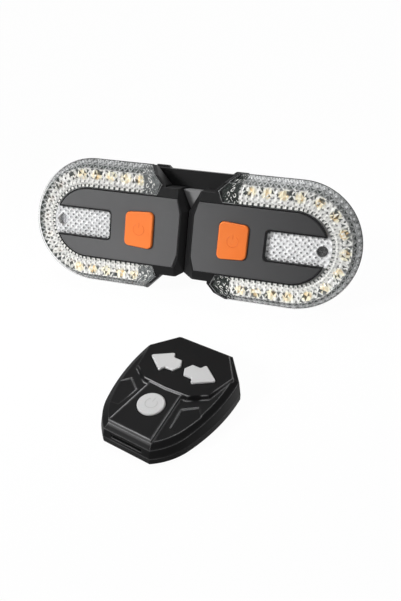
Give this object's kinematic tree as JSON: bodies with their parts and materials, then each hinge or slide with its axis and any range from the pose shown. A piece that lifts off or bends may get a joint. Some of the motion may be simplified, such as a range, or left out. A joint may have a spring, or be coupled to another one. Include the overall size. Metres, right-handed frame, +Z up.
{
  "type": "bicycle tail light with remote",
  "caption": "Mirrored D-shaped bicycle tail lamps with clear prismatic lenses, grey forked covers and orange buttons, on a seat-post clamp bracket, with a wireless arrow-key remote.",
  "frame": {"origin": "centre of the set's footprint, on the table it lies on", "axes": "+X along the lamps to the right as seen from the front, +Y back towards the seat post, +Z up"},
  "size_m": [0.165, 0.1706, 0.059],
  "materials": {
    "body": "black moulded plastic, satin",
    "cover": "grey moulded plastic, fine matt",
    "lens": "clear moulded plastic with prisms inside",
    "rubber": "black soft rubber",
    "board": "solder-masked circuit board",
    "led": "light-emitting chips, amber",
    "reflector": "white moulded plastic",
    "steel": "plain steel",
    "switch": "small switch",
    "orange": "orange moulded plastic, satin",
    "ribbon": "flexible circuit",
    "cell": "foil pouch",
    "remote": "black moulded plastic, matt",
    "brass": "sprung contact",
    "key": "light grey moulded plastic"
  },
  "bodies": {
    "bracket": {"bracket": "body", "seam_wedge": "cover", "front_liner": "rubber", "clamp_nuts": "steel"},
    "left_lamp": {"left_front_cover": "cover", "left_bezel": "body", "left_lens": "lens", "left_gasket": "rubber", "left_case_back": "body", "left_led_board": "board", "left_leds": "led", "left_reflector": "reflector", "left_lens_screw": "steel", "left_main_board": "board", "left_button_switch": "switch", "left_ribbon": "ribbon", "left_battery": "cell", "left_charging_port": "steel", "left_case_screws": "steel"},
    "left_power_button": {"left_power_button": "orange"},
    "left_port_flap": {"left_port_flap": "rubber"},
    "right_lamp": {"right_front_cover": "cover", "right_bezel": "body", "right_lens": "lens", "right_gasket": "rubber", "right_case_back": "body", "right_led_board": "board", "right_leds": "led", "right_reflector": "reflector", "right_lens_screw": "steel", "right_main_board": "board", "right_button_switch": "switch", "right_ribbon": "ribbon", "right_battery": "cell", "right_charging_port": "steel", "right_case_screws": "steel"},
    "right_power_button": {"right_power_button": "orange"},
    "right_port_flap": {"right_port_flap": "rubber"},
    "clamp_jaw": {"clamp_jaw": "body", "rear_liner": "rubber"},
    "right_clamp_screw": {"right_clamp_screw": "steel"},
    "left_clamp_screw": {"left_clamp_screw": "steel"},
    "remote": {"remote_top": "remote", "remote_base": "remote", "remote_board": "board", "remote_switches": "switch", "coin_cell": "steel", "cell_contact": "brass", "remote_screws": "steel"},
    "left_arrow_button": {"left_arrow_button": "key"},
    "right_arrow_button": {"right_arrow_button": "key"},
    "remote_power_button": {"remote_power_button": "key"},
    "battery_door": {"battery_door": "remote"}
  },
  "joints": [
    {"name": "left_lamp_slide", "type": "slide", "parent": "bracket", "child": "left_lamp", "axis": [-1, 0, 0], "range_m": [0, 0.024]},
    {"name": "left_power_press", "type": "slide", "parent": "left_lamp", "child": "left_power_button", "axis": [0, 0.9367, -0.3502], "range_m": [0, 0.0008], "stiffness_N_per_m": 1200, "springref_m": -0.0004},
    {"name": "left_flap_swing", "type": "hinge", "parent": "left_lamp", "child": "left_port_flap", "pos_m": [-0.036, 0.03859, 0.02754], "axis": [0, 0.3502, 0.9367], "range_deg": [0, 110]},
    {"name": "right_lamp_slide", "type": "slide", "parent": "bracket", "child": "right_lamp", "axis": [1, 0, 0], "range_m": [0, 0.024]},
    {"name": "right_power_press", "type": "slide", "parent": "right_lamp", "child": "right_power_button", "axis": [0, 0.9367, -0.3502], "range_m": [0, 0.0008], "stiffness_N_per_m": 1200, "springref_m": -0.0004},
    {"name": "right_flap_swing", "type": "hinge", "parent": "right_lamp", "child": "right_port_flap", "pos_m": [0.036, 0.03859, 0.02754], "axis": [0, -0.3502, -0.9367], "range_deg": [0, 110]},
    {"name": "jaw_slide", "type": "slide", "parent": "bracket", "child": "clamp_jaw", "axis": [0, 0.9367, -0.3502], "range_m": [0, 0.004]},
    {"name": "left_screw_turn", "type": "hinge", "parent": "clamp_jaw", "child": "left_clamp_screw", "pos_m": [-0.02745, 0.06963, 0.01634], "axis": [0, 0.9367, -0.3502], "continuous": true},
    {"name": "right_screw_turn", "type": "hinge", "parent": "clamp_jaw", "child": "right_clamp_screw", "pos_m": [0.02745, 0.06963, 0.01634], "axis": [0, 0.9367, -0.3502], "continuous": true},
    {"name": "remote_lift", "type": "slide", "parent": "bracket", "child": "remote", "axis": [0, 0, 1], "range_m": [0, 0.06]},
    {"name": "left_arrow_press", "type": "slide", "parent": "remote", "child": "left_arrow_button", "axis": [0, 0, -1], "range_m": [0, 0.0006], "stiffness_N_per_m": 900, "springref_m": -0.0004},
    {"name": "right_arrow_press", "type": "slide", "parent": "remote", "child": "right_arrow_button", "axis": [0, 0, -1], "range_m": [0, 0.0006], "stiffness_N_per_m": 900, "springref_m": -0.0004},
    {"name": "remote_power_press", "type": "slide", "parent": "remote", "child": "remote_power_button", "axis": [0.0215, 0.0716, -0.9972], "range_m": [0, 0.0006], "stiffness_N_per_m": 900, "springref_m": -0.0004},
    {"name": "door_turn", "type": "hinge", "parent": "remote", "child": "battery_door", "pos_m": [0.01489, -0.05802, 0.0005], "axis": [0, 0, 1], "range_deg": [0, 30]}
  ]
}
